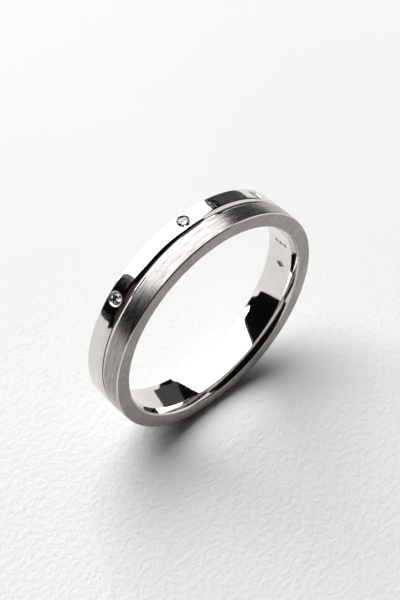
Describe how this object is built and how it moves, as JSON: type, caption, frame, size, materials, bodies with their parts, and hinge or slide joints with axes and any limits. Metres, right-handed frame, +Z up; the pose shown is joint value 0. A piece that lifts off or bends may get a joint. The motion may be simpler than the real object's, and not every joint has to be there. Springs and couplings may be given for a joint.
{
  "type": "wedding band",
  "caption": "Slim white metal finger ring with a brushed rail and a polished rail, a tapering V groove between them, and small round brilliants set flush.",
  "frame": {"origin": "centre of the finger hole at mid width, which is the centre of the bounding box", "axes": "+Z up, as the ring stands on its edge; Y along the finger hole's axis, -Y out of the brushed rail's side face and +Y out of the polished rail's; the middle stone is 4.8 degrees from the top, towards -X"},
  "size_m": [0.02, 0.0034, 0.02],
  "materials": {
    "white_metal": "mirror polish on the rail with the stones, the groove and the bore; lengthwise brushing on the other rail; satin side faces",
    "diamond": "clear faceted stone"
  },
  "bodies": {
    "root": {"band": "white_metal", "diamond_left": "diamond", "diamond_middle": "diamond", "diamond_right": "diamond"}
  },
  "joints": []
}
